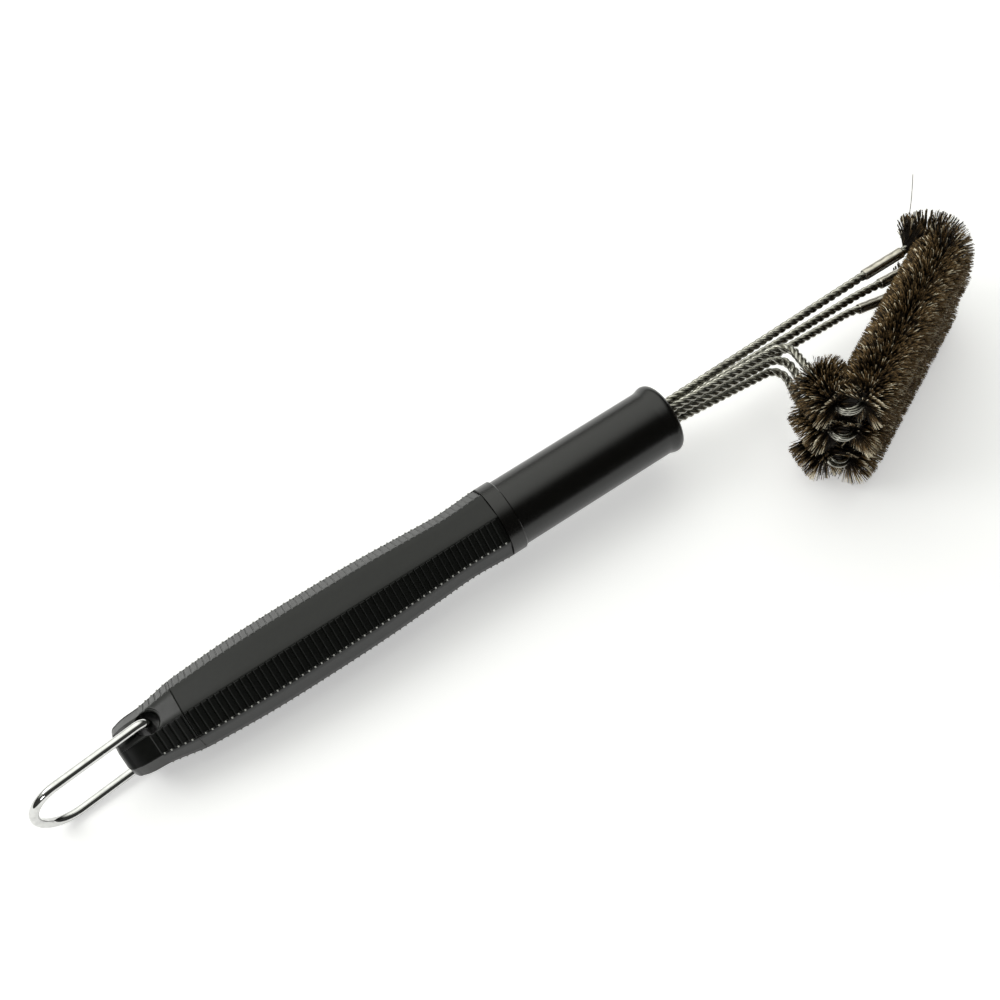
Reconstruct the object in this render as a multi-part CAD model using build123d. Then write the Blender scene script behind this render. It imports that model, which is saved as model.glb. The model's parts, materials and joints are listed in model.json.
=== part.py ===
from build123d import *
import math
import os

# A grill cleaning brush with three twisted-wire loops for a head.
#
# The pieces are drawn in the brush's own axes: X runs along the handle from the
# tail to the head, Y across the three loops, and Z away from the bristles. The
# finished brush is then laid on its side on a flat surface, as it comes to rest:
# Z up, X still along the handle, and the origin on the surface below its middle.
# All sizes are in millimetres.

# ---- driving dimensions: handle -------------------------------------------------
cap_length = 28.8             # tail to the parting line
grip_end = 174.0              # front of the grip
collar_end = 181.0            # front of the collar
handle_length = 264.5         # tail to the rounded end of the tube
cap_width_at_hole = 23.9
cap_outline = [(0.0, 17.0), (0.9, 19.2), (3.4, 21.2), (15.0, cap_width_at_hole), (cap_length, 28.8)]
grip_outline = [(cap_length, 28.8), (55.0, 31.6), (87.0, 32.2), (118.0, 31.2),
                (139.0, 29.3), (155.0, 28.0), (grip_end, 29.8)]
collar_diameter = 32.0
tube_diameter = 30.2
nose_flare = 0.9              # the tube's front end is this much larger in radius
nose_length = 9.0
nose_round = 3.2
nose_dome = 1.6
core_diameter = 23.0          # bore of the grip, collar and tube
core_wall = 2.0
core_start = 31.0
core_end = 228.0
spigot_length = 15.0
anchor_end = 257.0            # front of the block that holds the wires

# ---- driving dimensions: hanging loop -------------------------------------------
loop_wire = 3.9
loop_half_width = 14.4        # crossbar centre to leg centre
loop_pivot_x = 15.0
loop_back_x = -39.0           # centre of the wire at the far end of the loop
loop_corner = 4.0
loop_swing = 5.0              # degrees, towards the bristle side
cap_hole = 9.6
cap_hole_edge = 0.9

# ---- driving dimensions: head ---------------------------------------------------
wire_diameter = 3.9           # over the three strands of a twisted wire
wire_pitch_y = 5.8            # between wires where they leave the handle
wire_offset_z = 1.96          # straight shafts above the axis, bent shafts below
wire_skew_y = 0.35            # straight shafts to one side, bent shafts to the other
wire_start = 226.0            # cast into the anchor from here
fan_half_width = 15.9         # of the straight shafts, where the sleeves start
fan_twist = 7.5               # degrees about the handle's axis
sleeve_diameter = 5.0
sleeve_length = 20.0
sleeve_start = {"left": 370.0, "middle": 382.5, "right": 376.0}
bristle_diameter = 27.8
toe_bristle_diameter = 29.4   # the bristles splay at the turn of the toe
row_pitch = 21.7              # between neighbouring rows of bristles
row_gap = 0.4                 # left between the solids of neighbouring rows
bend_radius = 7.0             # where the lower shaft turns down to the heel
heel_radius = 5.0
shaft_radius = 60.0           # where a shaft leaves the handle
fan_radius = 15.0             # where the fan ends, just before the sleeve
toe_radius = {"left": 7.6, "middle": 4.4, "right": 6.4}
row_start = 0.045             # the row's share of the run from heel to toe
row_end = {"left": 0.825, "middle": 0.87, "right": 0.845}
heel_start = 0.11             # the share of the heel run that is bare at the bend
heel_top_z = {"left": -31.0, "middle": -33.0, "right": -38.0}
toe_end_x = {"left": 416.5, "middle": 424.0, "right": 419.5}
row_round = 9.0               # the bristles' outline curves in towards the toe
toe_round = 11.5

sides = {"left": -1, "middle": 0, "right": 1}


def across(x):
    """A plane square to the handle at x."""
    return Plane(origin=(x, 0, 0), x_dir=(0, 1, 0), z_dir=(1, 0, 0))


def octagon(x, across_flats):
    """An eight-sided section with flats on the +-Y and +-Z sides."""
    shape = RegularPolygon(across_flats / 2, 8, major_radius=False, rotation=22.5)
    return across(x) * shape


def eight_sided(outline, ruled=False):
    """A body whose eight-sided section follows the outline's widths."""
    return loft([octagon(x, width) for x, width in outline], ruled=ruled)


def rod(start, end, diameter):
    """A round rod along the handle's axis."""
    return extrude(across(start) * Circle(diameter / 2), end - start)


def wire_along(points, radii, diameter):
    """A round wire along straight runs joined by arcs."""
    route = FilletPolyline(*points, radius=radii)
    return sweep((route ^ 0) * Circle(diameter / 2), path=route)


def on_line(start, end, share):
    """The point that far along from start to end."""
    return tuple(a + share * (b - a) for a, b in zip(start, end))


def along(start, end, x):
    """The point at x on the line from start to end."""
    return on_line(start, end, (x - start[0]) / (end[0] - start[0]))


def wire_holes():
    """Where the six wires leave the handle: the Y and Z of each."""
    for side in sides.values():
        for up in (1, -1):
            yield side * wire_pitch_y + up * wire_skew_y, up * wire_offset_z


def wire_route(name):
    """The corner points of one loop: its straight shaft and its brush wire."""
    side = sides[name]
    exit_y = side * wire_pitch_y
    lean = math.radians(fan_twist)
    height = 0.4 if side else -0.2
    fan = (370.0, side * fan_half_width * math.cos(lean), height + side * fan_half_width * math.sin(lean))
    toe = (423.7, side * 21.5, -5.0)
    heel = (312.3, side * 21.5, -59.0)
    bend = (324.0, side * 9.5, -5.7 + 0.5 * side)
    front = handle_length + 2
    sleeve_middle = along(fan, toe, sleeve_start[name] + sleeve_length / 2)
    shaft = [
        (wire_start, exit_y + wire_skew_y, wire_offset_z),
        (front, exit_y + wire_skew_y, wire_offset_z),
        fan,
        along(fan, toe, sleeve_middle[0] - 0.2),
    ]
    brush = [
        along(fan, toe, sleeve_middle[0] + 0.2),
        toe,
        heel,
        bend,
        (front, exit_y - wire_skew_y, -wire_offset_z),
        (wire_start, exit_y - wire_skew_y, -wire_offset_z),
    ]
    return shaft, brush


# ---- handle ---------------------------------------------------------------------
def make_end_cap():
    body = eight_sided(cap_outline, ruled=True)
    spigot = rod(cap_length, cap_length + spigot_length, core_diameter - 2 * core_wall)
    step = rod(cap_length, core_start, core_diameter)
    cap = body + step + spigot
    hole = Plane(origin=(loop_pivot_x, 0, 0), z_dir=(0, 1, 0)) * Circle(cap_hole / 2)
    cap -= extrude(hole, collar_diameter, both=True)
    for facing in (1, -1):
        seat = (loop_pivot_x, facing * (cap_width_at_hole / 2 - cap_hole_edge), 0)
        mouth = Plane(origin=seat, z_dir=(0, facing, 0))
        depth = 2 * cap_hole_edge
        from_seat = (Align.CENTER, Align.CENTER, Align.MIN)
        cap -= mouth * Cone(cap_hole / 2, cap_hole / 2 + depth, depth, align=from_seat)
    return cap


def make_grip():
    return eight_sided(grip_outline) - rod(cap_length - 1, grip_end + 1, core_diameter)


def make_grip_collar():
    ring = rod(grip_end, collar_end, collar_diameter)
    ring = chamfer(ring.edges().filter_by(GeomType.CIRCLE).sort_by(Axis.X)[-1], 0.5)
    return ring - rod(grip_end - 1, collar_end + 1, core_diameter)


def make_core_tube():
    bore = rod(core_start - 1, core_end + 1, core_diameter - 2 * core_wall)
    return rod(core_start, core_end, core_diameter) - bore


def make_ferrule_tube():
    """The smooth tube, with its front end a little flared, rounded and domed."""
    radius = tube_diameter / 2
    flare = radius + nose_flare
    rim = flare - nose_round                 # where the rounding meets the dome
    rim_x = handle_length - nose_dome
    widest_x = rim_x - nose_round
    with BuildSketch(Plane.XY) as half:
        with BuildLine():
            Polyline((collar_end, 0), (collar_end, radius), (handle_length - nose_length, radius))
            Spline((handle_length - nose_length, radius), (widest_x, flare),
                   tangents=[(1, 0), (1, 0)])
            RadiusArc((widest_x, flare), (rim_x, rim), nose_round)
            Line((rim_x, rim), (handle_length, rim / 3))
            Polyline((handle_length, rim / 3), (handle_length, 0), (collar_end, 0))
        make_face()
    tube = revolve(half.sketch, Axis.X)
    tube -= rod(collar_end - 1, anchor_end, core_diameter)
    wires = [Pos(0, y, z) * rod(anchor_end - 1, handle_length + 1, wire_diameter + 0.04)
             for y, z in wire_holes()]
    return tube - wires


def make_wire_anchor():
    block = rod(core_end, anchor_end, core_diameter)
    block += rod(core_end - 6, core_end, core_diameter - 2 * core_wall)
    for y, z in wire_holes():
        block -= Pos(0, y, z) * rod(wire_start, anchor_end + 1, wire_diameter)
    return block


def make_hanging_loop():
    """A closed ring of wire: the crossbar through the cap, two legs and a round end."""
    arc_x = loop_back_x + loop_half_width
    bar = loop_half_width - loop_corner
    leg_start = loop_pivot_x - loop_corner
    with BuildLine() as ring:
        Line((loop_pivot_x, -bar), (loop_pivot_x, bar))
        RadiusArc((loop_pivot_x, bar), (leg_start, loop_half_width), -loop_corner)
        Line((leg_start, loop_half_width), (arc_x, loop_half_width))
        ThreePointArc((arc_x, loop_half_width), (loop_back_x, 0), (arc_x, -loop_half_width))
        Line((arc_x, -loop_half_width), (leg_start, -loop_half_width))
        RadiusArc((leg_start, -loop_half_width), (loop_pivot_x, -bar), -loop_corner)
    route = ring.wires()[0]
    loop = sweep((route ^ 0) * Circle(loop_wire / 2), path=route)
    pivot = Axis((loop_pivot_x, 0, 0), (0, 1, 0))
    return loop.rotate(pivot, -loop_swing)


# ---- head -----------------------------------------------------------------------
def make_sleeve(name):
    shaft, brush = wire_route(name)
    direction = Vector(*brush[1]) - Vector(*shaft[2])
    back = Vector(*along(shaft[2], brush[1], sleeve_start[name]))
    seat = Plane(origin=back, z_dir=direction)
    return extrude(seat * Circle(sleeve_diameter / 2), sleeve_length)


def between(start, end, radius, back=0.0, front=0.0):
    """A round bar from start to end, drawn out by back and front."""
    a, b = Vector(*start), Vector(*end)
    direction = (b - a).normalized()
    seat = Plane(origin=a - direction * back, z_dir=direction)
    return extrude(seat * Circle(radius), (b - a).length + back + front)


def rounded_end(bar, tip, radius):
    """The bar with the end nearest to tip rounded over."""
    rim = bar.edges().filter_by(GeomType.CIRCLE).sort_by_distance(Vector(*tip))[0]
    return fillet(rim, radius)


def lane(side):
    """The slab of space that one row of bristles keeps to."""
    inner = (row_pitch - row_gap) / 2
    if side == 0:
        return Pos(360, 0, -20) * Box(200, 2 * inner, 120)
    return Pos(360, side * (row_pitch / 2 + row_gap / 2 + 20), -20) * Box(200, 40, 120)


def make_bristles(name, metal):
    """The three runs of bristles on one loop: row, heel and toe."""
    stub, toe, heel, bend = wire_route(name)[1][:4]
    radius = bristle_diameter / 2
    heel_top = on_line(heel, bend, (heel_top_z[name] - heel[2]) / (bend[2] - heel[2]))
    toe_start = along(stub, toe, sleeve_start[name] + sleeve_length + 0.3)
    toe_end = along(stub, toe, toe_end_x[name])
    row_top = on_line(heel, toe, row_end[name])
    row_bar = between(on_line(heel, toe, row_start), row_top, radius)
    toe_bar = between(toe_start, toe_end, toe_bristle_diameter / 2)
    runs = {
        "row": rounded_end(row_bar, row_top, row_round),
        "heel": between(on_line(heel, heel_top, heel_start), heel_top, radius) - row_bar,
        "toe": rounded_end(toe_bar, toe_end, toe_round) - row_bar,
    }
    space = lane(sides[name])
    return {run: largest((shape & space) - metal) for run, shape in runs.items()}


def largest(shape):
    """The biggest solid of a shape that a cut may have left in pieces."""
    return sorted(shape.solids(), key=lambda s: s.volume)[-1]


def make_pieces():
    """Every piece in the brush's own axes, by name."""
    pieces = {
        "end_cap": make_end_cap(),
        "hanging_loop": make_hanging_loop(),
        "grip": make_grip(),
        "grip_collar": make_grip_collar(),
        "core_tube": make_core_tube(),
        "ferrule_tube": make_ferrule_tube(),
        "wire_anchor": make_wire_anchor(),
    }
    for name in sides:
        shaft, brush = wire_route(name)
        shaft_wire = wire_along(shaft, [shaft_radius, fan_radius], wire_diameter)
        brush_radii = [toe_radius[name], heel_radius, bend_radius, shaft_radius]
        brush_wire = wire_along(brush, brush_radii, wire_diameter)
        sleeve = make_sleeve(name)
        pieces[f"straight_shaft_{name}"] = shaft_wire
        pieces[f"brush_wire_{name}"] = brush_wire
        pieces[f"crimp_sleeve_{name}"] = sleeve - shaft_wire - brush_wire
        metal = sleeve + shaft_wire + brush_wire
        for run, solid in make_bristles(name, metal).items():
            pieces[f"bristle_{run}_{name}"] = solid
    return pieces


# ---- lying at rest --------------------------------------------------------------
# Three spots touch the surface: the lower leg of the hanging loop, where its round end
# starts, and the heel and toe ends of the lowest row of bristles.
def rim_point(centre, axis, radius, down):
    """The point of a round end that lies furthest down."""
    axis = Vector(*axis).normalized()
    outward = (down - axis * down.dot(axis)).normalized()
    return Vector(*centre) + outward * radius


def resting_place():
    """The surface the brush lies on, as a plane whose normal points up at it."""
    stub, toe, heel = wire_route("right")[1][:3]
    leg = loop_back_x + loop_half_width - loop_pivot_x
    swing = math.radians(loop_swing)
    leg_end = (loop_pivot_x + leg * math.cos(swing), loop_half_width, leg * math.sin(swing))
    row_axis = Vector(*toe) - Vector(*heel)
    toe_axis = Vector(*toe) - Vector(*stub)
    toe_side = along(stub, toe, toe_end_x["right"] - toe_round)
    normal = Vector(0, -1, 0)
    for _ in range(3):
        low = [
            rim_point(leg_end, (1, 0, 0), loop_wire / 2, -normal),
            rim_point(on_line(heel, toe, row_start), row_axis, bristle_diameter / 2, -normal),
            rim_point(toe_side, toe_axis, toe_bristle_diameter / 2, -normal),
        ]
        normal = (low[1] - low[0]).cross(low[2] - low[0]).normalized()
        if normal.Y > 0:
            normal = -normal
    level = Vector(1, 0, 0) - normal * normal.X
    return Plane(origin=low[0], x_dir=level.normalized(), z_dir=normal)


def laid_down(pieces):
    """The pieces in the resting frame, with the origin below their middle."""
    surface = resting_place()
    placed = {name: surface.to_local_coords(piece) for name, piece in pieces.items()}
    box = Compound(children=[s.solid() for s in placed.values()]).bounding_box()
    middle = box.center()
    shift = Pos(-middle.X, -middle.Y, -box.min.Z)
    return {name: shift * piece for name, piece in placed.items()}, surface, shift


def main():
    os.makedirs("parts", exist_ok=True)
    pieces, surface, shift = laid_down(make_pieces())
    for name, piece in pieces.items():
        export_step(piece, f"parts/{name}.step")
    pivot = shift * Pos(surface.to_local_coords(Vector(loop_pivot_x, 0, 0)))
    tip = shift * Pos(surface.to_local_coords(Vector(loop_pivot_x, 1, 0)))
    print("loop pivot", pivot.position, "axis", tip.position - pivot.position)
    origin = shift * Pos(surface.to_local_coords(Vector(0, 0, 0)))
    print("tail centre", origin.position)
    for axis in (Vector(1, 0, 0), Vector(0, 1, 0), Vector(0, 0, 1)):
        end = shift * Pos(surface.to_local_coords(axis))
        print("axis", axis, "->", end.position - origin.position)


main()
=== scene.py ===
"""The looks of a grill cleaning brush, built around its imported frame."""
import json
import math

import bpy
import numpy as np
from mathutils import Matrix, Vector


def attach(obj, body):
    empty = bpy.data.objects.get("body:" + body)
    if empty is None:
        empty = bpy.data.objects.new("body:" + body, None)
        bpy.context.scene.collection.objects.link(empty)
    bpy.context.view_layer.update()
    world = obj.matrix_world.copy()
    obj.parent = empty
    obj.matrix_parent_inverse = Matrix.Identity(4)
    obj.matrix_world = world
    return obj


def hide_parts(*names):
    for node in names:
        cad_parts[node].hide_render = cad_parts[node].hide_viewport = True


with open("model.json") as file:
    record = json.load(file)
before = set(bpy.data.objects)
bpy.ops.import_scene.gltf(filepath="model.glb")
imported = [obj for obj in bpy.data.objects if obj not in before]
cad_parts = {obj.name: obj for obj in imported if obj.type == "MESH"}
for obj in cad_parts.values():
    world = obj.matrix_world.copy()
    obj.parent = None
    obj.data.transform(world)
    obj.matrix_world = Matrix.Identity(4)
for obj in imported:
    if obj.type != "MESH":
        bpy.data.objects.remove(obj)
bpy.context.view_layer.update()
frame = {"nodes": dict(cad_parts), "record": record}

# ---- the brush's own axes -----------------------------------------------------------
# Shapes are worked out in millimetres along the brush: X from the tail to the head, Y
# across the three loops and Z away from the bristles. The hinge of the hanging loop
# gives where those axes lie in the frame.
MM = 0.001
PIVOT_X = 15.0
HINGE = frame["record"]["behaviour"]["joints"][0]
ACROSS = Vector(HINGE["axis"]).normalized()
ALONG = Vector((-ACROSS.z, 0.0, ACROSS.x)).normalized()
AWAY = ALONG.cross(ACROSS)
TAIL = Vector(HINGE["pos_m"]) - ALONG * PIVOT_X * MM
AXES = np.array([ALONG, ACROSS, AWAY])


def to_frame(points):
    """Points in the brush's own millimetres, as metres in the frame."""
    return np.asarray(points, float) @ AXES * MM + np.array(TAIL)


# ---- sizes in millimetres -----------------------------------------------------------
CAP_END, GRIP_END, HANDLE_END = 28.8, 174.0, 264.5
CAP_OUTLINE = [(0.0, 17.0), (0.9, 19.2), (3.4, 21.2), (15.0, 23.9), (CAP_END, 28.8)]
GRIP_OUTLINE = [(CAP_END, 28.8), (55.0, 31.6), (87.0, 32.2), (118.0, 31.2),
                (139.0, 29.3), (155.0, 28.0), (GRIP_END, 29.8)]
CAP_NOSE_ROUND = 2.6            # the tail's edge
RIB_PITCH = 2.85
RIB_START = 13.5
RIB_CHANNEL, RIB_PROUD = -0.28, 0.08
TIP_RADIUS, TIP_INSET, TIP_SINK = 0.42, 0.26, 0.24
CAP_HOLE, CAP_HOLE_LIP = 9.6, 1.0

STRAND_DIAMETER = 1.85
STRANDS = 3
WIRE_LAY = 10.05
ROUTE_STEP = 0.4
SIDES = {"left": -1, "middle": 0, "right": 1}
WIRE_PITCH_Y, WIRE_OFFSET_Z, WIRE_SKEW_Y = 5.8, 1.96, 0.35
FAN_X, FAN_HALF_WIDTH, FAN_TWIST = 370.0, 15.9, math.radians(7.5)
SLEEVE_START = {"left": 370.0, "middle": 382.5, "right": 376.0}
SLEEVE_LENGTH, SLEEVE_DIAMETER, SLEEVE_WALL = 20.0, 5.0, 0.42
CRIMPS, CRIMP_DEPTH = (4.5, 10.0, 15.5), 0.16
TOE_X, TOE_Z = 423.7, -5.0
HEEL_X, HEEL_Z = 312.3, -59.0
HEAD_HALF_WIDTH = 21.5
BEND_X, BEND_Y, BEND_Z = 324.0, 9.5, -5.7
TOE_RADIUS = {"left": 7.6, "middle": 4.4, "right": 6.4}
HEEL_RADIUS, BEND_RADIUS, SHAFT_RADIUS, FAN_RADIUS = 5.0, 7.0, 60.0, 15.0
CALM_LENGTH = 8.5               # either side of the heel, where the wire is hardly twisted
HEEL_TOP_Z = {"left": -31.0, "middle": -33.0, "right": -38.0}
BRISTLE_LENGTH, TOE_BRISTLE_LENGTH = 13.9, 14.6
BRISTLE_ROOT, BRISTLE_MIDDLE, BRISTLE_TIP = 0.17, 0.16, 0.14    # radii
BRISTLE_SIDES = 3
BRISTLE_SHARES = (0.07, 0.66, 1.0)      # of its length, where those radii are
BRISTLES_PER_MM = 110
ROW_BARE, HEEL_BARE = 10.4, 11.8
ROW_PITCH = 21.7
LANE_GAP = 1.6                  # between a row's bristles and the plane halfway to the next row
BRISTLE_TURN = 2.4
TUFTS_PER_TURN = 20
HEEL_PUSH = {"left": -0.55, "middle": -0.6, "right": -0.9}
PUSH_FADE, GLOW_FADE = 4.0, 2.2

# ---- how pale the bristles are, from 0 at the root to 1 at a bright tip, with painted shade and highlights ---
ROOT_SHADE_TONES = (0.02, 0.40, 1.0)
# painted light: the second of these pales the bristles on the lit side, the third is painted shade on crowded
# bristles between rows
BASE_TONE, LIT_SIDE_TONE, SEAM_SHADE_TONE = 0.46, 0.22, 0.8
# painted highlights: a share of bristles painted bright as sparkles
PAINTED_SPARKLE_TONE, PAINTED_SPARKLE_SHARE = 1.4, 0.05
LONG_BRISTLE_TONE = 0.35


# ---- meshes -------------------------------------------------------------------------
def add_mesh(name, points, faces, body, material, replaces=(), smooth=True):
    """A piece of the brush from points in its own millimetres."""
    mesh = bpy.data.meshes.new(name)
    mesh.from_pydata(to_frame(points).tolist(), [], faces)
    mesh.validate()
    mesh.update()
    return add_piece(name, mesh, body, material, replaces, smooth)


def add_piece(name, mesh, body, material, replaces=(), smooth=True):
    """Puts a finished mesh in the scene, moving with its body."""
    piece = bpy.data.objects.new(name, mesh)
    bpy.context.collection.objects.link(piece)
    mesh.materials.clear()
    mesh.materials.append(material)
    if smooth:
        mesh.shade_smooth()
    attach(piece, body)
    if replaces:
        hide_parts(*replaces)
    return piece


def grid_faces(rows, columns, start=0):
    """Quads between the neighbouring rings of a grid of points."""
    faces = []
    for i in range(rows - 1):
        for j in range(columns):
            k = (j + 1) % columns
            a, b = start + i * columns, start + (i + 1) * columns
            faces.append((a + j, a + k, b + k, b + j))
    return faces


def capped_faces(rows, columns, start=0):
    """The same, with the first and the last ring closed."""
    last = start + (rows - 1) * columns
    near_cap = tuple(start + j for j in reversed(range(columns)))
    far_cap = tuple(last + j for j in range(columns))
    return grid_faces(rows, columns, start) + [near_cap, far_cap]


def sharpen(piece, degrees=35.0):
    """Keeps creases over that angle crisp under smooth shading."""
    piece.data.set_sharp_from_angle(angle=math.radians(degrees))


# ---- routes -------------------------------------------------------------------------
def filleted(points, radii, step):
    """Points spaced along straight runs joined by arcs."""
    points = [np.array(p, float) for p in points]
    stops = [points[0]]
    track = []
    for i in range(1, len(points) - 1):
        before, corner, after = points[i - 1], points[i], points[i + 1]
        a = (before - corner) / np.linalg.norm(before - corner)
        b = (after - corner) / np.linalg.norm(after - corner)
        opening = math.acos(np.clip(a @ b, -1, 1))
        radius = radii[i - 1]
        reach = radius / math.tan(opening / 2)
        middle = corner + (a + b) / np.linalg.norm(a + b) * radius / math.sin(opening / 2)
        start, end = corner + a * reach, corner + b * reach
        track.append(np.array([stops[-1], start]))
        sweep = math.pi - opening
        count = max(4, int(radius * sweep / step))
        u = (start - middle) / radius
        v = np.cross(np.cross(u, end - middle), u)
        v /= np.linalg.norm(v)
        turns = np.linspace(0, sweep, count + 1)[:, None]
        track.append(middle + radius * (np.cos(turns) * u + np.sin(turns) * v))
        stops.append(end)
    track.append(np.array([stops[-1], points[-1]]))
    line = np.concatenate(track)
    keep = np.r_[True, np.linalg.norm(np.diff(line, axis=0), axis=1) > 1e-6]
    line = line[keep]
    length = np.r_[0, np.cumsum(np.linalg.norm(np.diff(line, axis=0), axis=1))]
    even = np.linspace(0, length[-1], max(2, int(length[-1] / step)))
    return np.stack([np.interp(even, length, line[:, k]) for k in range(3)], 1), even


def frames_along(line):
    """At each point of a line, its direction and two more that turn as little as they can."""
    ahead = np.gradient(line, axis=0)
    ahead /= np.linalg.norm(ahead, axis=1)[:, None]
    side = np.cross(ahead[0], [0.0, 0.0, 1.0])
    side /= np.linalg.norm(side)
    sides = []
    for direction in ahead:
        side = side - direction * (side @ direction)
        side /= np.linalg.norm(side)
        sides.append(side)
    sides = np.array(sides)
    return ahead, sides, np.cross(ahead, sides)


def tube(line, radii, columns):
    """Points and faces of a round tube with closed ends."""
    ahead, side, up = frames_along(line)
    angles = np.arange(columns) * 2 * math.pi / columns
    ring = np.cos(angles)[None, :, None] * side[:, None] + np.sin(angles)[None, :, None] * up[:, None]
    points = line[:, None] + ring * np.asarray(radii).reshape(-1, 1, 1)
    return points.reshape(-1, 3), capped_faces(len(line), columns)


def along(start, end, x):
    """The point at x on the line from start to end."""
    share = (x - start[0]) / (end[0] - start[0])
    return tuple(a + share * (b - a) for a, b in zip(start, end))


def wire_corners(name):
    """The corner points of one loop: its straight shaft and its brush wire."""
    side = SIDES[name]
    exit_y = side * WIRE_PITCH_Y
    height = 0.4 if side else -0.2      # the middle shaft runs a little lower
    fan_y = side * FAN_HALF_WIDTH
    fan = (FAN_X, fan_y * math.cos(FAN_TWIST), height + fan_y * math.sin(FAN_TWIST))
    toe = (TOE_X, side * HEAD_HALF_WIDTH, TOE_Z)
    heel = (HEEL_X, side * HEAD_HALF_WIDTH, HEEL_Z)
    bend = (BEND_X, side * BEND_Y, BEND_Z + 0.5 * side)
    front, inside = HANDLE_END + 2, HANDLE_END - 12
    middle_x = SLEEVE_START[name] + SLEEVE_LENGTH / 2
    shaft = [(inside, exit_y + WIRE_SKEW_Y, WIRE_OFFSET_Z), (front, exit_y + WIRE_SKEW_Y, WIRE_OFFSET_Z),
             fan, along(fan, toe, middle_x - 0.2)]
    brush = [along(fan, toe, middle_x + 0.2), toe, heel, bend,
             (front, exit_y - WIRE_SKEW_Y, -WIRE_OFFSET_Z), (inside, exit_y - WIRE_SKEW_Y, -WIRE_OFFSET_Z)]
    return shaft, brush


# ---- materials ----------------------------------------------------------------------
def new_material(name):
    """A material with a lone Principled shader, its nodes, and a maker of nodes."""
    material = bpy.data.materials.new(name)
    material.use_nodes = True
    tree = material.node_tree
    shader = tree.nodes["Principled BSDF"]

    def node(kind, **values):
        made = tree.nodes.new(kind)
        for key, value in values.items():
            if key in made.inputs:
                made.inputs[key].default_value = value
            else:
                setattr(made, key, value)
        return made

    return material, tree, shader, node


def noise(node, tree, scale, detail):
    """Noise in the frame's own coordinates, in features of about 1 / scale metres."""
    made = node("ShaderNodeTexNoise", Scale=scale, Detail=detail, Roughness=0.6)
    tree.links.new(node("ShaderNodeTexCoord").outputs["Object"], made.inputs["Vector"])
    return made.outputs["Fac"]


def ramp(node, tree, value, stops):
    """A colour ramp of (position, colour) stops."""
    made = node("ShaderNodeValToRGB")
    elements = made.color_ramp.elements
    while len(elements) < len(stops):
        elements.new(0.5)
    for element, (position, colour) in zip(elements, stops):
        element.position = position
        element.color = (*colour, 1.0)
    tree.links.new(value, made.inputs["Fac"])
    return made.outputs["Color"]


def spread(node, tree, value, low, high):
    """Maps the middle of a noise's range to low..high."""
    made = node("ShaderNodeMapRange")
    for key, number in (("From Min", 0.3), ("From Max", 0.7), ("To Min", low), ("To Max", high)):
        made.inputs[key].default_value = number
    tree.links.new(value, made.inputs["Value"])
    return made.outputs["Result"]


def bump(node, tree, shader, height, strength, distance):
    """Fine relief under a shader."""
    made = node("ShaderNodeBump", Strength=strength, Distance=distance)
    tree.links.new(height, made.inputs["Height"])
    tree.links.new(made.outputs["Normal"], shader.inputs["Normal"])


def moulded_plastic(name, dark, light, grain, rough, grain_depth, specular=0.5):
    """Moulded plastic: a fine spark-eroded grain, faint mottling and uneven polish."""
    material, tree, shader, node = new_material(name)
    mottle = noise(node, tree, 420.0, 5.0)
    tree.links.new(ramp(node, tree, mottle, [(0.3, dark), (0.7, light)]), shader.inputs["Base Color"])
    wear = noise(node, tree, 260.0, 6.0)
    tree.links.new(spread(node, tree, wear, rough[0], rough[1]), shader.inputs["Roughness"])
    shader.inputs["Specular IOR Level"].default_value = specular
    fine = noise(node, tree, grain, 3.0)
    bump(node, tree, shader, fine, 0.35, grain_depth)
    return material


def bright_metal(name, dark, light, rough, scratch_scale, depth):
    """Drawn wire or polished tube: fine scratches and a little grime."""
    material, tree, shader, node = new_material(name)
    shader.inputs["Metallic"].default_value = 1.0
    stain = noise(node, tree, 320.0, 5.0)
    tree.links.new(ramp(node, tree, stain, [(0.25, dark), (0.6, light)]), shader.inputs["Base Color"])
    wear = noise(node, tree, 900.0, 6.0)
    tree.links.new(spread(node, tree, wear, rough[0], rough[1]), shader.inputs["Roughness"])
    fine = noise(node, tree, scratch_scale, 4.0)
    bump(node, tree, shader, fine, 0.25, depth)
    return material


def bristle_metal():
    """Thin bronze-coated wire, with painted shade towards the packed roots, paler and warmer at the cut tips.
    """
    material, tree, shader, node = new_material("bristle_wire")
    tone = node("ShaderNodeAttribute", attribute_name="tone")
    colours = [(0.0, (0.004, 0.0025, 0.001)), (0.30, (0.022, 0.014, 0.006)),
               (0.65, (0.29, 0.185, 0.078)), (1.0, (1.0, 0.90, 0.68))]
    colour = ramp(node, tree, tone.outputs["Fac"], colours)
    tree.links.new(colour, shader.inputs["Base Color"])
    shader.inputs["Metallic"].default_value = 0.7
    wear = noise(node, tree, 700.0, 2.0)
    tree.links.new(spread(node, tree, wear, 0.22, 0.40), shader.inputs["Roughness"])
    return material


GRIP_BLACK = moulded_plastic("grip_black", (0.0036, 0.0040, 0.0034), (0.0060, 0.0066, 0.0056),
                             5200.0, (0.29, 0.34), 0.00003, 0.33)
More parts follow.
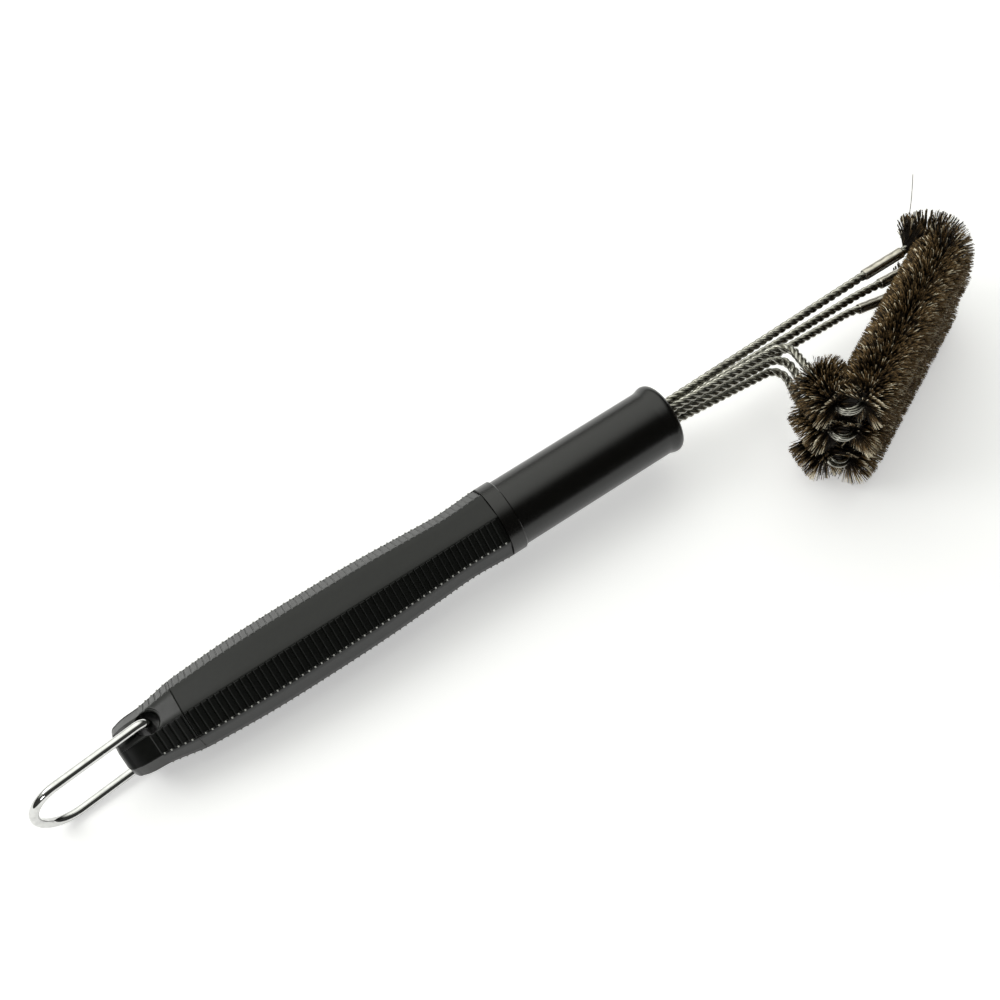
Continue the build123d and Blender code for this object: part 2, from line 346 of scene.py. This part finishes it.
# painted highlight: the rib tips are the grip's black plastic, painted pale grey for the light they catch
RIB_TIP_HIGHLIGHT = moulded_plastic("rib_tip_painted_highlight", (0.34, 0.34, 0.32), (0.44, 0.44, 0.41),
                          4200.0, (0.16, 0.26), 0.00001, 0.9)
TUBE_BLACK = moulded_plastic("tube_black", (0.0014, 0.0013, 0.0010), (0.0027, 0.0024, 0.0019),
                             3800.0, (0.21, 0.27), 0.00003, 0.5)
CORE_BLACK = moulded_plastic("core_black", (0.010, 0.010, 0.010), (0.016, 0.016, 0.016),
                             3000.0, (0.5, 0.7), 0.00004)
WIRE_STEEL = bright_metal("wire_steel", (0.11, 0.107, 0.091), (0.42, 0.41, 0.36),
                          (0.16, 0.28), 6000.0, 0.00002)
SLEEVE_STEEL = bright_metal("sleeve_steel", (0.28, 0.26, 0.215), (0.52, 0.49, 0.43),
                            (0.14, 0.24), 5000.0, 0.00002)
CHROME = bright_metal("chrome", (0.52, 0.52, 0.51), (0.68, 0.68, 0.67),
                      (0.03, 0.08), 2500.0, 0.000004)
BRISTLE = bristle_metal()


# ---- handle -------------------------------------------------------------------------
def smooth_width(outline, x):
    """The width across flats at x, on a smooth curve through the outline."""
    xs = np.array([p[0] for p in outline])
    ys = np.array([p[1] for p in outline])
    slope = np.gradient(ys, xs)
    i = np.clip(np.searchsorted(xs, x) - 1, 0, len(xs) - 2)
    span = xs[i + 1] - xs[i]
    t = (x - xs[i]) / span
    h00, h10 = 2 * t**3 - 3 * t**2 + 1, t**3 - 2 * t**2 + t
    h01, h11 = -2 * t**3 + 3 * t**2, t**3 - t**2
    return h00 * ys[i] + h10 * span * slope[i] + h01 * ys[i + 1] + h11 * span * slope[i + 1]


def rib_height(x, share, first, last):
    """How far the ribbed strip stands off its face: ribs with round ends in a channel."""
    wall = np.clip((0.975 - np.abs(share)) / 0.025, 0, 1)
    phase = ((x - RIB_START) / RIB_PITCH) % 1.0
    across = np.abs(phase - 0.5) * 2
    top = np.clip((0.84 - across) / 0.24, 0, 1)
    top = np.sqrt(1 - (1 - top) ** 2)
    end = np.clip((0.94 - np.abs(share)) / 0.10, 0, 1)
    end = np.sqrt(1 - (1 - end) ** 2)
    inside = (x > first) & (x < last)
    rib = RIB_CHANNEL + (RIB_PROUD - RIB_CHANNEL) * top * end * inside
    return rib * wall


def both_ways(*shares):
    """Places across a face: one edge, then its middle with these shares of the half width on either side."""
    return np.array([-1.0, *(-share for share in reversed(shares)), 0.0, *shares])


def eight_sided(name, outline, start, end, rib_first, rib_last, replaces, hole=False):
    """A handle moulding: eight sides, the slanted ones ribbed, with small end chamfers."""
    lip, lip_depth = 0.3, 0.5
    fine = np.arange(start, end, RIB_PITCH / 12)
    lips = [start, start + 0.12, start + lip, end - lip, end - 0.12, end]
    if start == 0.0:
        lips += [0.05, 0.2, 0.45, 0.9, 1.6, 2.4]
    xs = np.unique(np.round(np.concatenate([fine, lips]), 4))
    width = smooth_width(outline, xs)
    if start == 0.0:
        drop = 1 - np.sqrt(1 - np.clip(1 - xs / CAP_NOSE_ROUND, 0, 1) ** 2)
        width = width - 2 * CAP_NOSE_ROUND * drop * 0.75
    else:
        width = width - lip_depth * np.clip(1 - (xs - start) / lip, 0, 1)
    width = width - lip_depth * np.clip(1 - (end - xs) / lip, 0, 1)
    flat = both_ways(0.5, 0.95, 0.985)
    ribbed = both_ways(0.5, 0.84, 0.87, 0.895, 0.915, 0.93, 0.94, 0.95, 0.972, 0.985)
    rings = []
    for side in range(8):
        angle = side * math.pi / 4
        normal = np.array([math.cos(angle), math.sin(angle)])
        tangent = np.array([-normal[1], normal[0]])
        shares = ribbed if side % 2 else flat
        half = width / 2
        reach = half * math.tan(math.pi / 8)
        for share in shares:
            edge = np.clip((abs(share) - 0.95) / 0.05, 0, 1)
            out = half - 0.22 * edge**2
            if side % 2:
                out = out + rib_height(xs, share, rib_first, rib_last)
            rings.append(out[:, None] * normal + (reach * share)[:, None] * tangent)
    ring = np.stack(rings, 1)
    rows, columns = ring.shape[:2]
    points = np.concatenate([np.repeat(xs[:, None, None], columns, 1), ring], 2).reshape(-1, 3)
    faces = capped_faces(rows, columns)
    piece = add_mesh(name, points, faces, "brush", GRIP_BLACK, replaces)
    if hole:
        cut_hole(piece)
    sharpen(piece, 32.0)
    return piece


def add_ball(points, faces, centre, radius, rings=6, columns=12):
    """Adds a small ball to lists of points and faces."""
    start = len(points)
    for i in range(1, rings):
        tilt = math.pi * i / rings
        for j in range(columns):
            turn = 2 * math.pi * j / columns
            points.append(centre + radius * np.array([
                math.sin(tilt) * math.cos(turn), math.sin(tilt) * math.sin(turn), math.cos(tilt)]))
    faces += capped_faces(rings - 1, columns, start)


def rib_tips():
    """The small round tips of the ribs, along the edges of the two side flats, painted pale grey as a painted
    highlight on the black plastic.
    """
    points, faces = [], []
    for first, last, outline in ((RIB_START, CAP_END, CAP_OUTLINE), (CAP_END, GRIP_END, GRIP_OUTLINE)):
        ribs = np.arange(math.ceil((last - RIB_START) / RIB_PITCH))
        middles = RIB_START + RIB_PITCH * (ribs + 0.5)
        for x in middles[(middles > first + 1.0) & (middles < last - 1.5)]:
            half = smooth_width(outline, np.array([x]))[0] / 2
            reach = half * math.tan(math.pi / 8)
            for y_side in (-1, 1):
                for z_side in (-1, 1):
                    corner = np.array([x, y_side * (reach + TIP_INSET), z_side * (half - TIP_SINK)])
                    add_ball(points, faces, corner, TIP_RADIUS)
    add_mesh("rib_tips", points, faces, "brush", RIB_TIP_HIGHLIGHT)


def cut_hole(piece):
    """The hole for the hanging loop's crossbar, with soft edges, through the cap."""
    half = smooth_width(CAP_OUTLINE, np.array([PIVOT_X]))[0] / 2
    edge, radius = CAP_HOLE_LIP, CAP_HOLE / 2
    turns = np.linspace(0, math.pi / 2, 9)
    lip = [(half - edge + edge * math.sin(t), radius + edge * (1 - math.cos(t))) for t in turns]
    lip.append((half + 2.0, radius + edge + 0.3))
    profile = [(-y, r) for y, r in reversed(lip)] + lip
    columns = 64
    points = []
    for y, r in profile:
        for j in range(columns):
            a = 2 * math.pi * j / columns
            points.append((PIVOT_X + r * math.cos(a), y, r * math.sin(a)))
    faces = [tuple(reversed(face)) for face in capped_faces(len(profile), columns)]
    mesh = bpy.data.meshes.new("hole_cutter")
    mesh.from_pydata(to_frame(points).tolist(), [], faces)
    mesh.update()
    cutter = bpy.data.objects.new("hole_cutter", mesh)
    bpy.context.collection.objects.link(cutter)
    cut = piece.modifiers.new("hole", "BOOLEAN")
    cut.operation, cut.solver, cut.object = "DIFFERENCE", "EXACT", cutter
    bpy.context.view_layer.update()
    shape = piece.evaluated_get(bpy.context.evaluated_depsgraph_get())
    made = bpy.data.meshes.new_from_object(shape)
    piece.modifiers.clear()
    piece.data = made
    bpy.data.objects.remove(cutter)


# ---- twisted wires ------------------------------------------------------------------
def nearest(line, point):
    """Which of the line's points lies closest to another point."""
    return int(np.argmin(np.linalg.norm(line - np.array(point), axis=1)))


def twisted_wire(name, corners, radii, replaces, calm=None):
    """Strands laid round a route, with less twist where it bends round the corner named by calm."""
    line, length = filleted(corners, radii, ROUTE_STEP)
    ahead, side, up = frames_along(line)
    offset = STRAND_DIAMETER / 2 / math.sin(math.pi / STRANDS)
    rate = np.ones(len(line))
    if calm is not None:
        rate -= 0.9 * np.exp(-((length - length[nearest(line, corners[calm])]) / CALM_LENGTH) ** 4)
    turns = np.r_[0, np.cumsum(rate[1:] * np.diff(length))] / WIRE_LAY
    points, faces = [], []
    for strand in range(STRANDS):
        angle = 2 * math.pi * (turns + strand / STRANDS)
        centre = line + offset * (np.cos(angle)[:, None] * side + np.sin(angle)[:, None] * up)
        ring, quads = tube(centre, np.full(len(centre), STRAND_DIAMETER / 2), 14)
        start = sum(len(p) for p in points)
        points.append(ring)
        faces += [tuple(start + v for v in quad) for quad in quads]
    return add_mesh(name, np.concatenate(points), faces, "brush", WIRE_STEEL, replaces)


def sleeve(name):
    """A crimped steel sleeve: a tube with turned ends and shallow crimp flats."""
    shaft, brush = wire_corners(name)
    fan, toe = shaft[2], brush[1]
    start = np.array(along(fan, toe, SLEEVE_START[name]))
    direction = np.array(toe) - np.array(fan)
    direction /= np.linalg.norm(direction)
    side = np.cross(direction, [0.0, 0.0, 1.0])
    side /= np.linalg.norm(side)
    up = np.cross(side, direction)
    radius, bore = SLEEVE_DIAMETER / 2, SLEEVE_DIAMETER / 2 - SLEEVE_WALL
    columns = 48
    angles = np.arange(columns) * 2 * math.pi / columns
    stations = np.concatenate([[0.0, 0.06, 0.2, 0.5], np.linspace(1.0, SLEEVE_LENGTH - 1.0, 46),
                               SLEEVE_LENGTH - np.array([0.5, 0.2, 0.06, 0.0])])
    rings = [(1.5, bore), (0.5, bore), (0.1, bore + 0.06)]

    def place(x, r, a):
        return start + direction * x + r * (math.cos(a) * side + math.sin(a) * up)

    points = []
    for x, r in rings:
        points += [place(x, r, a) for a in angles]
    for x in stations:
        lip = min(x, SLEEVE_LENGTH - x)
        r = radius - 0.2 * (1 - min(1, lip / 0.3)) ** 2
        crimp = sum(math.exp(-((x - at) / 1.3) ** 2) for at in CRIMPS)
        for a in angles:
            flat = max(0.0, abs(math.cos(a - 0.6)) - 0.82) / 0.18
            points.append(place(x, r - CRIMP_DEPTH * crimp * flat, a))
    for x, r in reversed(rings):
        points += [place(SLEEVE_LENGTH - x, r, a) for a in angles]
    faces = capped_faces(len(points) // columns, columns)
    node = f"crimp_sleeve_{name}"
    piece = add_mesh(f"sleeve_{name}", points, faces, "brush", SLEEVE_STEEL, (node,))
    sharpen(piece, 40.0)
    return piece


# ---- bristles -----------------------------------------------------------------------
def mesh_of(name, points, quads, triangles):
    """A mesh from arrays, which is quick for many small faces."""
    mesh = bpy.data.meshes.new(name)
    mesh.vertices.add(len(points))
    mesh.vertices.foreach_set("co", to_frame(points).reshape(-1).astype(np.float32))
    corners = np.concatenate([quads.reshape(-1), triangles.reshape(-1)]).astype(np.int32)
    mesh.loops.add(len(corners))
    mesh.loops.foreach_set("vertex_index", corners)
    starts = np.concatenate([np.arange(len(quads)) * 4, len(quads) * 4 + np.arange(len(triangles)) * 3])
    mesh.polygons.add(len(starts))
    mesh.polygons.foreach_set("loop_start", starts.astype(np.int32))
    mesh.update(calc_edges=True)
    mesh.validate()
    return mesh


def set_tone(mesh, values):
    """How pale each point of a bristle is."""
    tone = mesh.attributes.new("tone", "FLOAT", "POINT")
    tone.data.foreach_set("value", values.astype(np.float32))


def within_lane(out_y, base_y, side, length):
    """The longest bristle that keeps clear of the neighbouring rows."""
    limit = np.full(len(out_y), length)
    for towards in (-1, 1):
        neighbour = side + towards
        if abs(neighbour) > 1:
            continue
        wall = (side + towards / 2) * ROW_PITCH - towards * LANE_GAP
        room = (wall - base_y) * towards
        facing = out_y * towards
        limit = np.where(facing > 0.05, np.minimum(limit, room / np.maximum(facing, 0.05)), limit)
    return limit


def bristle_mesh(name, spine, forward, around):
    """Thin bristles in one mesh, each on its own points of the spine, getting thinner towards the tip."""
    count, sides = len(forward), BRISTLE_SIDES
    points = np.zeros((count, len(spine) * sides, 3))
    for i, (middle, radius) in enumerate(zip(spine, (BRISTLE_ROOT, BRISTLE_MIDDLE, BRISTLE_TIP))):
        for j in range(sides):
            a = 2 * math.pi * j / sides + 0.5
            points[:, i * sides + j] = middle + radius * (math.cos(a) * forward + math.sin(a) * around)
    base = np.arange(count)[:, None, None] * points.shape[1]
    quads = (base + np.array(grid_faces(len(spine), sides))[None]).reshape(-1, 4)
    tips = (base[:, 0] + (len(spine) - 1) * sides + np.arange(sides)[None]).reshape(-1, 3)
    return mesh_of(name, points.reshape(-1, 3), quads, tips)


def bristle_run(name, line, replaces, seed, side_number, push=0.0, end_push=0.0,
                glow=(0.0, 0.0), missing=0.0, shade=0.0, length=BRISTLE_LENGTH):
    """Bristles standing out all round a stretch of wire, in the tight double spiral that twisting gives.

    push and end_push lean the bristles at either end along the wire, glow makes some of those paler
    as a painted highlight, missing is the share of short tufts, and shade darkens the whole run.
    """
    rng = np.random.default_rng(seed)
    gap = np.linalg.norm(np.diff(line, axis=0), axis=1)
    distance = np.r_[0, np.cumsum(gap)]
    ahead, side, up = frames_along(line)
    count = int(distance[-1] * BRISTLES_PER_MM)
    turns = np.sort(rng.uniform(0, distance[-1] / BRISTLE_TURN, count))
    flank = rng.integers(0, 2, count)
    at = turns * BRISTLE_TURN

    def at_roots(vectors):
        """What holds at the line's points, worked out for each bristle's root."""
        return np.stack([np.interp(at, distance, vectors[:, k]) for k in range(3)], 1)

    place, forward, right, above = at_roots(line), at_roots(ahead), at_roots(side), at_roots(up)
    angle = 2 * math.pi * turns + math.pi * flank + rng.normal(0, 0.15, count)
    out = np.cos(angle)[:, None] * right + np.sin(angle)[:, None] * above
    around = -np.sin(angle)[:, None] * right + np.cos(angle)[:, None] * above

    tuft = (np.floor(turns * TUFTS_PER_TURN) * 2 + flank).astype(int)
    shared = rng.normal(0, 1, (4, tuft.max() + 1))[:, tuft]
    reach = length * (1 + 0.020 * shared[0] + rng.normal(0, 0.018, count) - 0.12 * (rng.random(count) < 0.04))
    room = within_lane(out[:, 1], place[:, 1], side_number, length)
    # how crowded each bristle is between rows, which sets its painted shade
    crowded = np.clip(1 - room / length, 0.0, 1.0)
    reach = np.minimum(reach, room * rng.uniform(0.93, 1.0, count))
    lean = 0.012 * shared[1] + rng.normal(0, 0.008, count)
    from_start, from_end = np.exp(-at / PUSH_FADE), np.exp((at - distance[-1]) / PUSH_FADE)
    lean += push * from_start + end_push * from_end
    drift = 0.025 * shared[2] + rng.normal(0, 0.015, count)
    stray = rng.random(count) < 0.02
    lean = lean + stray * rng.normal(0, 0.12, count)
    bow = rng.normal(0, 0.02, count)
    reach = reach / np.sqrt(1 + lean**2)
    gone = (rng.random(tuft.max() + 1) < missing)[tuft] & (rng.random(count) < 0.85)
    reach = np.where(gone, reach * rng.uniform(0.45, 0.75, count), reach)
    spine = []
    for share in BRISTLE_SHARES:
        bend = bow * (share - share**2) * 2
        spine.append(place + reach[:, None] * (
            share * out + (lean * share + bend)[:, None] * forward + (drift * share)[:, None] * around))
    mesh = bristle_mesh(name, spine, forward, around)
    # painted light: bristles pointing towards the bristle face are made paler as if lit from that side, and
    # crowded bristles between rows get painted shade
    side_light_and_seam_shade = LIT_SIDE_TONE * np.clip(-out[:, 2], 0.0, 1.0) - SEAM_SHADE_TONE * crowded
    tone = np.clip(BASE_TONE - shade + side_light_and_seam_shade + 0.08 * shared[3] + rng.normal(0, 0.11, count), 0.10, 0.9)
    # painted highlight: some tufts at the leaning ends are made paler where light catches them
    glint = glow[0] * np.exp(-at / GLOW_FADE) + glow[1] * np.exp((at - distance[-1]) / GLOW_FADE)
    tone += glint * (shared[3] > 0.1)
    # painted highlight: a few random bristles painted bright as sparkles
    tone = np.where(rng.random(count) < PAINTED_SPARKLE_SHARE, PAINTED_SPARKLE_TONE, tone)
    # painted shade: each bristle darkens towards its root, deep among the packed bristles
    per_point = np.repeat(ROOT_SHADE_TONES, BRISTLE_SIDES)[None] * tone[:, None]
    set_tone(mesh, per_point.reshape(-1))
    return add_piece(name, mesh, "brush", BRISTLE, replaces, smooth=False)


def long_bristle(start, end):
    """One bristle that has worked loose and stands out past the others."""
    start, end = np.array(start), np.array(end)
    share = np.linspace(0, 1, 12)[:, None]
    line = start + share * (end - start) + np.array([0.6, 0.0, -0.8]) * np.sin(math.pi * share)
    points, faces = tube(line, np.linspace(BRISTLE_ROOT, BRISTLE_TIP, len(line)), 6)
    piece = add_mesh("long_bristle", points, faces, "brush", BRISTLE)
    set_tone(piece.data, np.full(len(points), LONG_BRISTLE_TONE))


def dress_loop(name, seed):
    """One loop of the head: straight shaft, brush wire, sleeve and its bristles."""
    shaft, brush = wire_corners(name)
    twisted_wire(f"shaft_wire_{name}", shaft, [SHAFT_RADIUS, FAN_RADIUS], (f"straight_shaft_{name}",))
    bends = [TOE_RADIUS[name], HEEL_RADIUS, BEND_RADIUS, SHAFT_RADIUS]
    twisted_wire(f"loop_wire_{name}", brush, bends, (f"brush_wire_{name}",), calm=2)
    sleeve(name)
    line = filleted(brush, bends, ROUTE_STEP)[0]
    x, z = line[:, 0], line[:, 2]
    tip = int(np.argmax(x))
    toe, heel, bend = (np.array(corner) for corner in brush[1:4])
    row_last = nearest(line, heel + (toe - heel) / np.linalg.norm(toe - heel) * ROW_BARE)
    heel_first = nearest(line, heel + (bend - heel) / np.linalg.norm(bend - heel) * HEEL_BARE)
    toe_first = int(np.argmax(x > SLEEVE_START[name] + SLEEVE_LENGTH + 0.4))
    heel_last = heel_first + int(np.argmax(z[heel_first:] > HEEL_TOP_Z[name]))
    side_number = SIDES[name]

    def run(kind, stretch, order, **shape):
        bristle_run(f"bristles_{kind}_{name}", stretch, (f"bristle_{kind}_{name}",),
                    seed + order, side_number, **shape)

    run("toe", line[toe_first:tip + 4], 0, push=0.75, missing=0.35, shade=0.14,
        length=TOE_BRISTLE_LENGTH)
    run("row", line[tip + 4:row_last], 1, end_push=0.5, glow=(0.0, 0.9), missing=0.06)
    run("heel", line[heel_first:heel_last], 2, push=HEEL_PUSH[name], glow=(0.9, 0.0), missing=0.12)


# ---- camera, light and floor --------------------------------------------------------
def brush_vector(values):
    """A direction given along the brush's own axes."""
    return Vector(np.asarray(values, float) @ AXES)


def add_camera():
    """A camera over the hanging-loop end, looking down across the brush."""
    eye = Vector(to_frame([72.0, -468.5, -238.7]))
    right = brush_vector((0.831, 0.0924, -0.5485))
    up = brush_vector((0.517, -0.4902, 0.7014))
    right.normalize()
    back = right.cross(up).normalized()
    up = back.cross(right)
    data = bpy.data.cameras.new("camera")
    data.sensor_width, data.lens = 36.0, 46.08
    data.clip_start, data.clip_end = 0.01, 50.0
    camera = bpy.data.objects.new("camera", data)
    turn = Matrix((right, up, back)).transposed()
    camera.matrix_world = Matrix.Translation(eye) @ turn.to_4x4()
    bpy.context.collection.objects.link(camera)
    bpy.context.scene.camera = camera


def add_light(name, at, target, size, power):
    """A round white lamp aimed at a point."""
    data = bpy.data.lights.new(name, "AREA")
    data.shape, data.size, data.energy = "DISK", size, power
    lamp = bpy.data.objects.new(name, data)
    lamp.location = at
    lamp.rotation_euler = (Vector(at) - Vector(target)).to_track_quat("Z", "Y").to_euler()
    bpy.context.collection.objects.link(lamp)


def add_stage():
    """A white floor that glows a little, so that it comes out as paper white, and two lamps."""
    mesh = bpy.data.meshes.new("floor")
    reach = 6.0
    mesh.from_pydata([(-reach, -reach, 0), (reach, -reach, 0), (reach, reach, 0), (-reach, reach, 0)],
                     [], [(0, 1, 2, 3)])
    floor = bpy.data.objects.new("floor", mesh)
    floor.location.z = -0.0002
    bpy.context.collection.objects.link(floor)
    material, tree, shader, node = new_material("paper_white")
    shader.inputs["Base Color"].default_value = (0.88, 0.88, 0.88, 1)
    shader.inputs["Roughness"].default_value = 0.8
    shader.inputs["Specular IOR Level"].default_value = 0.1
    shader.inputs["Emission Color"].default_value = (1, 1, 1, 1)
    shader.inputs["Emission Strength"].default_value = 0.42
    mesh.materials.append(material)
    add_sky()
    add_light("key", (-1.0, 0.75, 1.1), (0, 0, 0), 0.7, 5.0)
    add_light("kicker", (-0.9, -0.55, 0.55), (0.15, 0, 0), 0.25, 1.2)


def add_sky():
    """A soft studio: bright above and behind the brush, dark in front of it, as with a black screen there."""
    world = bpy.data.worlds.new("studio")
    world.use_nodes = True
    tree = world.node_tree
    background = tree.nodes["Background"]
    place = tree.nodes.new("ShaderNodeTexCoord")
    facing = tree.nodes.new("ShaderNodeVectorMath")
    facing.operation = "DOT_PRODUCT"
    facing.inputs[1].default_value = Vector((-0.05, 0.60, 0.80)).normalized()
    tree.links.new(place.outputs["Generated"], facing.inputs[0])
    level = tree.nodes.new("ShaderNodeMapRange")
    level.interpolation_type = "SMOOTHSTEP"
    for key, number in (("From Min", 0.48), ("From Max", 0.95), ("To Min", 0.05), ("To Max", 1.6)):
        level.inputs[key].default_value = number
    tree.links.new(facing.outputs["Value"], level.inputs["Value"])
    tree.links.new(level.outputs["Result"], background.inputs["Strength"])
    background.inputs["Color"].default_value = (0.985, 1.0, 0.94, 1)
    bpy.context.scene.world = world
    bpy.context.scene.view_settings.view_transform = "Standard"


# ---- the brush ----------------------------------------------------------------------
def dress_cad_nodes():
    """Finishes for the nodes whose own shape shows."""
    finishes = {"grip_collar": TUBE_BLACK, "ferrule_tube": TUBE_BLACK, "core_tube": CORE_BLACK,
                "wire_anchor": CORE_BLACK, "hanging_loop": CHROME}
    for name, material in finishes.items():
        for slot in frame["nodes"][name].material_slots:
            slot.material = material


add_camera()
add_stage()
dress_cad_nodes()
eight_sided("end_cap_moulding", CAP_OUTLINE, 0.0, CAP_END, RIB_START, CAP_END, ("end_cap",), hole=True)
eight_sided("grip_moulding", GRIP_OUTLINE, CAP_END, GRIP_END, CAP_END, GRIP_END - 1.5, ("grip",))
rib_tips()
for number, loop_name in enumerate(SIDES):
    dress_loop(loop_name, 100 * number + 7)
long_bristle((392.0, -19.0, -1.0), (412.0, -34.0, 18.5))
